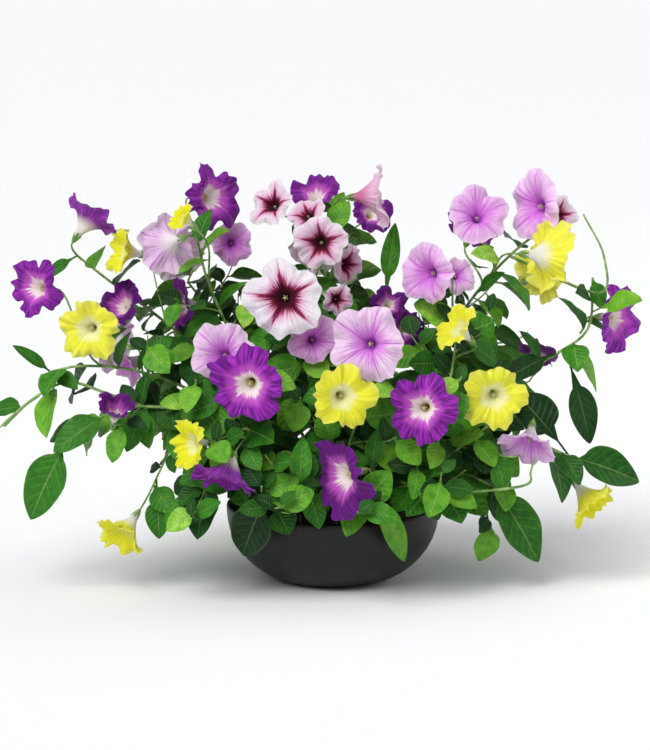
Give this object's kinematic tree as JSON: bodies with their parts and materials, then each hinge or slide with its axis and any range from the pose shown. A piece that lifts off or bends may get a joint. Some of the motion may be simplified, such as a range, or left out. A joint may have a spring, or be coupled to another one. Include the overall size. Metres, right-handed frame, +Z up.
{
  "type": "flowering hanging basket",
  "caption": "Low round planter bowl filled with soil and overflowing with branching leafy stems that carry trumpet-shaped blooms in violet, yellow, lavender and white.",
  "frame": {"origin": "centre of the bowl's flat base, on the surface that it stands on", "axes": "+Z up; the basket's front, as pictured, faces -Y; +X is to the right of someone who faces it"},
  "size_m": [0.6535, 0.3452, 0.4222],
  "materials": {
    "charcoal_plastic": "satin",
    "potting_soil": "rough, crumbly",
    "leaf_green": "soft, finely hairy",
    "violet_petal": "velvety",
    "yellow_petal": "velvety",
    "lavender_petal": "velvety",
    "white_petal": "velvety"
  },
  "bodies": {
    "root": {"bowl": "charcoal_plastic", "potting_soil": "potting_soil", "back_stem": "leaf_green", "crown_stem": "leaf_green", "front_left_stem": "leaf_green", "front_right_stem": "leaf_green", "front_stem": "leaf_green", "left_stem": "leaf_green", "right_stem": "leaf_green", "upper_left_stem": "leaf_green", "upper_right_stem": "leaf_green", "lavender_1": "lavender_petal", "lavender_10": "lavender_petal", "lavender_11": "lavender_petal", "lavender_12": "lavender_petal", "lavender_13": "lavender_petal", "lavender_14": "lavender_petal", "lavender_2": "lavender_petal", "lavender_3": "lavender_petal", "lavender_4": "lavender_petal", "lavender_5": "lavender_petal", "lavender_6": "lavender_petal", "lavender_7": "lavender_petal", "lavender_8": "lavender_petal", "lavender_9": "lavender_petal", "violet_1": "violet_petal", "violet_10": "violet_petal", "violet_11": "violet_petal", "violet_12": "violet_petal", "violet_13": "violet_petal", "violet_14": "violet_petal", "violet_15": "violet_petal", "violet_17": "violet_petal", "violet_18": "violet_petal", "violet_19": "violet_petal", "violet_2": "violet_petal", "violet_3": "violet_petal", "violet_4": "violet_petal", "violet_5": "violet_petal", "violet_6": "violet_petal", "violet_8": "violet_petal", "violet_9": "violet_petal", "white_1": "white_petal", "white_2": "white_petal", "white_3": "white_petal", "white_4": "white_petal", "white_5": "white_petal", "white_6": "white_petal", "yellow_1": "yellow_petal", "yellow_10": "yellow_petal", "yellow_11": "yellow_petal", "yellow_12": "yellow_petal", "yellow_13": "yellow_petal", "yellow_2": "yellow_petal", "yellow_4": "yellow_petal", "yellow_5": "yellow_petal", "yellow_6": "yellow_petal", "yellow_7": "yellow_petal", "yellow_8": "yellow_petal", "yellow_9": "yellow_petal"}
  },
  "joints": []
}
